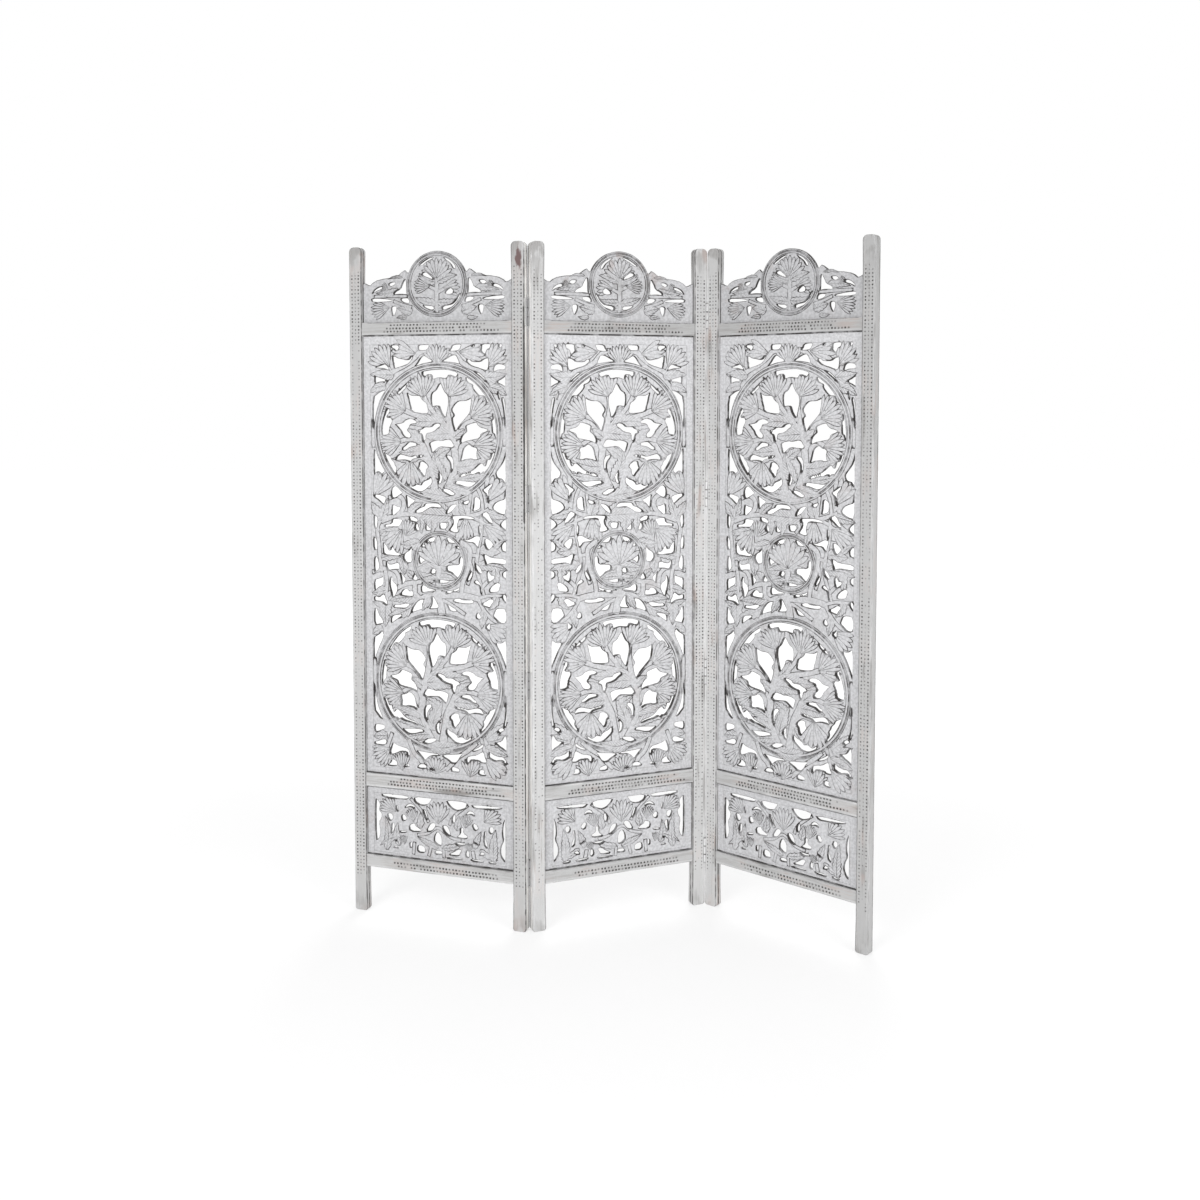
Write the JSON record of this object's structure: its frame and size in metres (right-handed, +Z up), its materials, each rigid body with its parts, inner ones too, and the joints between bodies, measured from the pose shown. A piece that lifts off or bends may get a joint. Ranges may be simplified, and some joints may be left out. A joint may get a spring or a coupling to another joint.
{
  "type": "folding screen",
  "caption": "Free-standing folding room screen of hinged wooden panels, each a frame round pierced floral jali boards under a scrolled crest.",
  "frame": {"origin": "middle of the standing screen's bounding box, at floor level", "axes": "+Z up, -Y towards the viewer who sees the screen's front, +X to that viewer's right"},
  "size_m": [1.3808, 0.3508, 1.829],
  "materials": {
    "painted_wood": "distressed off-white paint over wood, matt",
    "middle_wood": "distressed off-white paint over wood, matt, a little paler",
    "hinge_metal": "off-white paint over steel, matt"
  },
  "bodies": {
    "middle_panel": {"left_hinge_fixed_leaves": "hinge_metal", "left_hinge_pins": "hinge_metal", "middle_bottom_rail": "middle_wood", "middle_crest": "middle_wood", "middle_left_post": "middle_wood", "middle_lower_jali": "middle_wood", "middle_main_jali": "middle_wood", "middle_middle_rail": "middle_wood", "middle_right_post": "middle_wood", "middle_top_rail": "middle_wood", "right_hinge_fixed_leaves": "hinge_metal", "right_hinge_pins": "hinge_metal"},
    "left_panel": {"left_bottom_rail": "painted_wood", "left_crest": "painted_wood", "left_hinge_swing_leaves": "hinge_metal", "left_left_post": "painted_wood", "left_lower_jali": "painted_wood", "left_main_jali": "painted_wood", "left_middle_rail": "painted_wood", "left_right_post": "painted_wood", "left_top_rail": "painted_wood"},
    "right_panel": {"right_bottom_rail": "painted_wood", "right_crest": "painted_wood", "right_hinge_swing_leaves": "hinge_metal", "right_left_post": "painted_wood", "right_lower_jali": "painted_wood", "right_main_jali": "painted_wood", "right_middle_rail": "painted_wood", "right_right_post": "painted_wood", "right_top_rail": "painted_wood"}
  },
  "joints": [
    {"name": "left_fold", "type": "hinge", "parent": "middle_panel", "child": "left_panel", "pos_m": [-0.1979, -0.01197, 0.9], "axis": [0, 0, 1], "range_deg": [-140.7, 39.3]},
    {"name": "right_fold", "type": "hinge", "parent": "middle_panel", "child": "right_panel", "pos_m": [0.28483, 0.15161, 0.9], "axis": [0, 0, 1], "range_deg": [-118.2, 61.8]}
  ]
}
